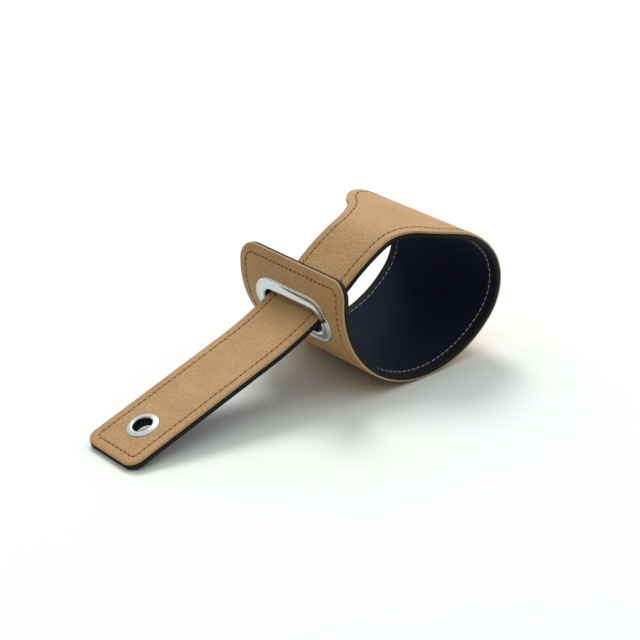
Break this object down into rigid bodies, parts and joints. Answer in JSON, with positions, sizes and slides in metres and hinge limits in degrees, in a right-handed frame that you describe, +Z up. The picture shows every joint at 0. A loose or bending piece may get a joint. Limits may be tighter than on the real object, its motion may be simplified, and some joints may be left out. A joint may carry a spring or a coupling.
{
  "type": "cable machine cuff strap",
  "caption": "Padded leather cuff strap: a wide band with an oval metal ring slot, and a narrow tail that passes through it and ends in a round eyelet.",
  "frame": {"origin": "on the floor under the middle of the strap's length and width", "axes": "+Z up, +X from the tail's eyelet towards the closed end of the loop, +Y along the cuff's own axis, with the strap symmetric about the plane Y = 0"},
  "size_m": [0.224, 0.082, 0.0757],
  "materials": {
    "leather": "fine pebble grain",
    "foam": "matte closed-cell foam",
    "lining": "matte jersey",
    "top_thread": "waxed thread",
    "bobbin_thread": "matte thread",
    "bright_metal": "polished nickel",
    "dull_metal": "satin nickel"
  },
  "bodies": {
    "cuff": {"cuff_leather": "leather", "cuff_foam": "foam", "cuff_lining": "lining", "cuff_top_seam": "top_thread", "cuff_bobbin_seam": "bobbin_thread"},
    "ring_end": {"plate_leather": "leather", "plate_foam": "foam", "plate_lining": "lining", "plate_top_seam": "top_thread", "plate_bobbin_seam": "bobbin_thread", "oval_ring_face": "bright_metal", "oval_ring_washer": "dull_metal"},
    "tail": {"tail_leather": "leather", "tail_foam": "foam", "tail_lining": "lining", "tail_top_seam": "top_thread", "tail_bobbin_seam": "bobbin_thread"},
    "tip": {"tip_leather": "leather", "tip_foam": "foam", "tip_lining": "lining", "tip_top_seam": "top_thread", "tip_bobbin_seam": "bobbin_thread", "eyelet_face": "bright_metal", "eyelet_washer": "dull_metal"}
  },
  "joints": [
    {"name": "ring_end_fold", "type": "hinge", "parent": "cuff", "child": "ring_end", "pos_m": [0.03687, 0, 0.0046], "axis": [0, 1, 0], "range_deg": [-4, 8], "stiffness_Nm_per_rad": 1},
    {"name": "tail_bend", "type": "hinge", "parent": "cuff", "child": "tail", "pos_m": [-0.01494, 0, 0.0351], "axis": [0, 1, 0], "range_deg": [-12, 45], "stiffness_Nm_per_rad": 1},
    {"name": "tip_bend", "type": "hinge", "parent": "tail", "child": "tip", "pos_m": [-0.06055, 0, 0.0202], "axis": [0, 1, 0], "range_deg": [-12, 45], "stiffness_Nm_per_rad": 1}
  ]
}
